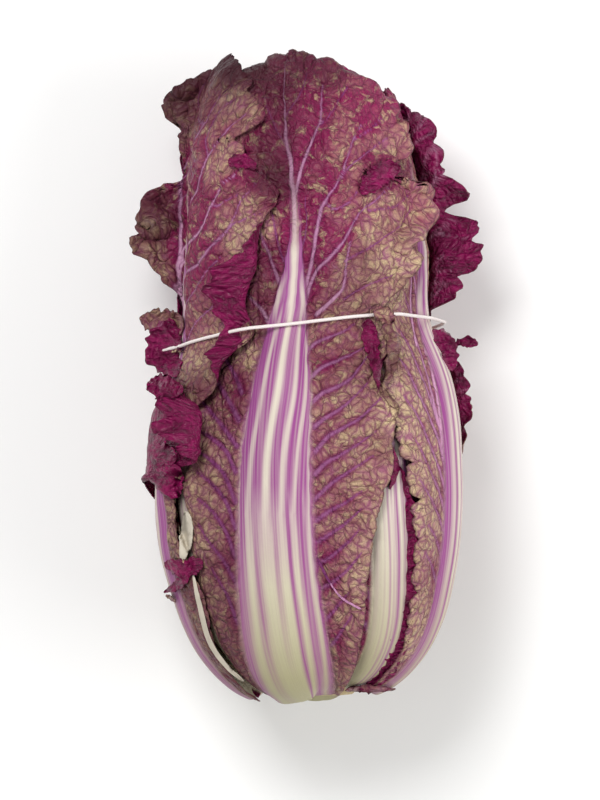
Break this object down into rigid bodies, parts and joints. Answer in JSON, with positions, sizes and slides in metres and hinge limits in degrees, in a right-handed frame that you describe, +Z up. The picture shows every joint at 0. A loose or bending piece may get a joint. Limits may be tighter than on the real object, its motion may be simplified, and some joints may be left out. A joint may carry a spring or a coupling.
{
  "type": "napa cabbage",
  "caption": "Red-leaved napa cabbage lying on its back, its ribbed leaves wrapped round a closed heart and held by a thin elastic band.",
  "frame": {"origin": "on the surface that the head lies on, under the middle of its outline", "axes": "+Y from the cut stem to the leaf tips, +Z up, out of the front of the head, +X to the right in the picture"},
  "size_m": [0.1767, 0.3284, 0.1502],
  "materials": {
    "leaf": "satin",
    "rib": "satin",
    "band": "matte"
  },
  "bodies": {
    "root": {"heart": "rib", "stem": "rib", "leaf_inner_back": "leaf", "leaf_inner_right": "leaf", "leaf_inner_left": "leaf", "leaf_right": "leaf", "leaf_front": "leaf", "leaf_left": "leaf", "leaf_back_left": "leaf", "leaf_back_right": "leaf", "leaf_back": "leaf", "elastic_band": "band"}
  },
  "joints": []
}
